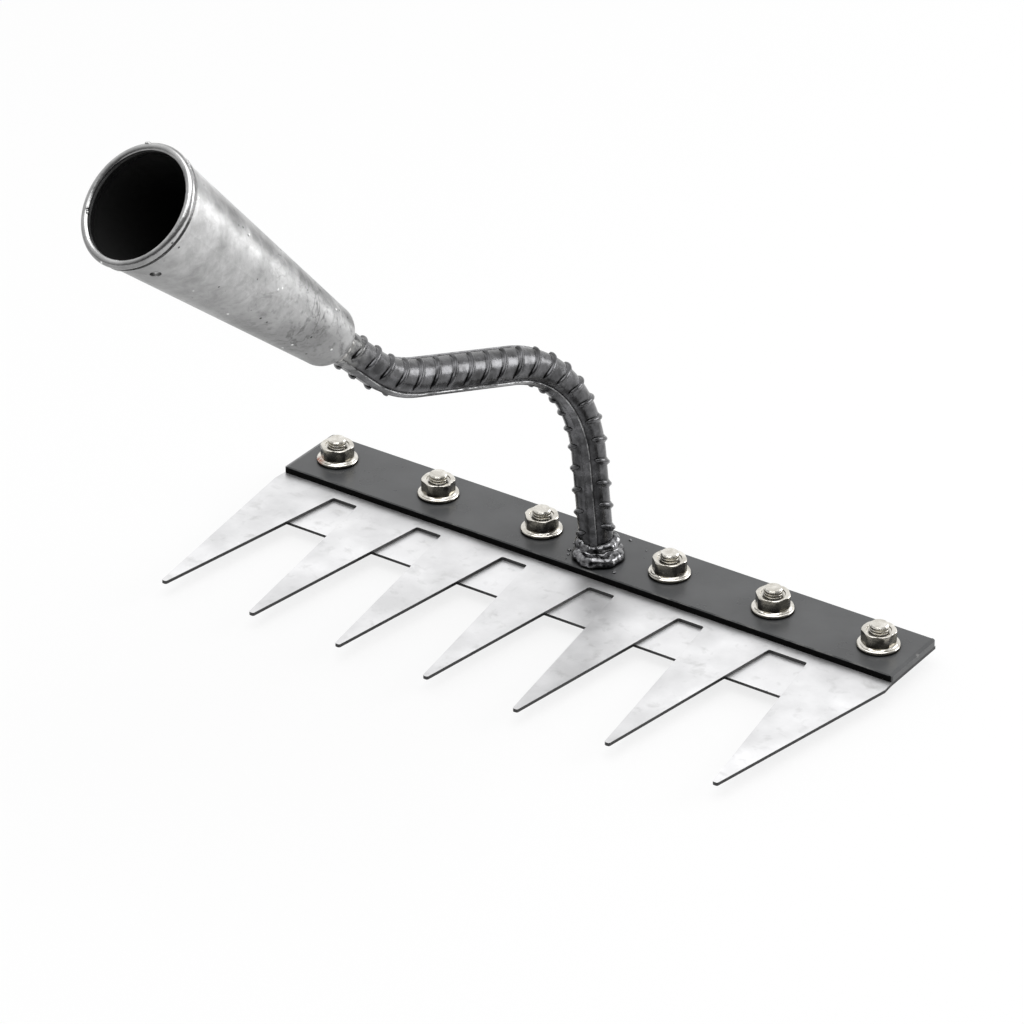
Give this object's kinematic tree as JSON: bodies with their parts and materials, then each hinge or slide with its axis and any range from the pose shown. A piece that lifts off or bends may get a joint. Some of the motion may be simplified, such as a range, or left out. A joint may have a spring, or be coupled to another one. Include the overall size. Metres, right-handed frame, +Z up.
{
  "type": "garden rake head",
  "caption": "Garden rake head: a toothed steel blade bolted under a flat crossbar, with a ribbed steel gooseneck and a tapered socket for the handle.",
  "frame": {"origin": "centre of the handle socket's straight throat, on the socket's axis", "axes": "+X along the crossbar to the viewer's right, the teeth point to -Y, +Z up from the blade; the socket's mouth faces up and forward between -Y and +Z, and turns a little to -X"},
  "size_m": [0.2408, 0.2152, 0.2158],
  "materials": {
    "bar_black": "satin black",
    "rod_black": "semi-gloss black",
    "weld_dark": "glossy black over lumpy weld",
    "blade_steel": "bare rolled sheet",
    "strip_steel": "bare rolled sheet",
    "socket_zinc": "mottled, pitted galvanised tube",
    "weld_zinc": "rough weld",
    "fastener_zinc": "zinc plate with brown tarnish"
  },
  "bodies": {
    "root": {"crossbar": "bar_black", "tooth_blade": "blade_steel", "backing_strip": "strip_steel", "gooseneck": "rod_black", "foot_weld": "weld_dark", "handle_socket": "socket_zinc", "socket_weld": "weld_zinc", "bolt_1": "fastener_zinc", "flange_nut_1": "fastener_zinc", "bolt_2": "fastener_zinc", "flange_nut_2": "fastener_zinc", "bolt_3": "fastener_zinc", "flange_nut_3": "fastener_zinc", "bolt_4": "fastener_zinc", "flange_nut_4": "fastener_zinc", "bolt_5": "fastener_zinc", "flange_nut_5": "fastener_zinc", "bolt_6": "fastener_zinc", "flange_nut_6": "fastener_zinc"}
  },
  "joints": []
}
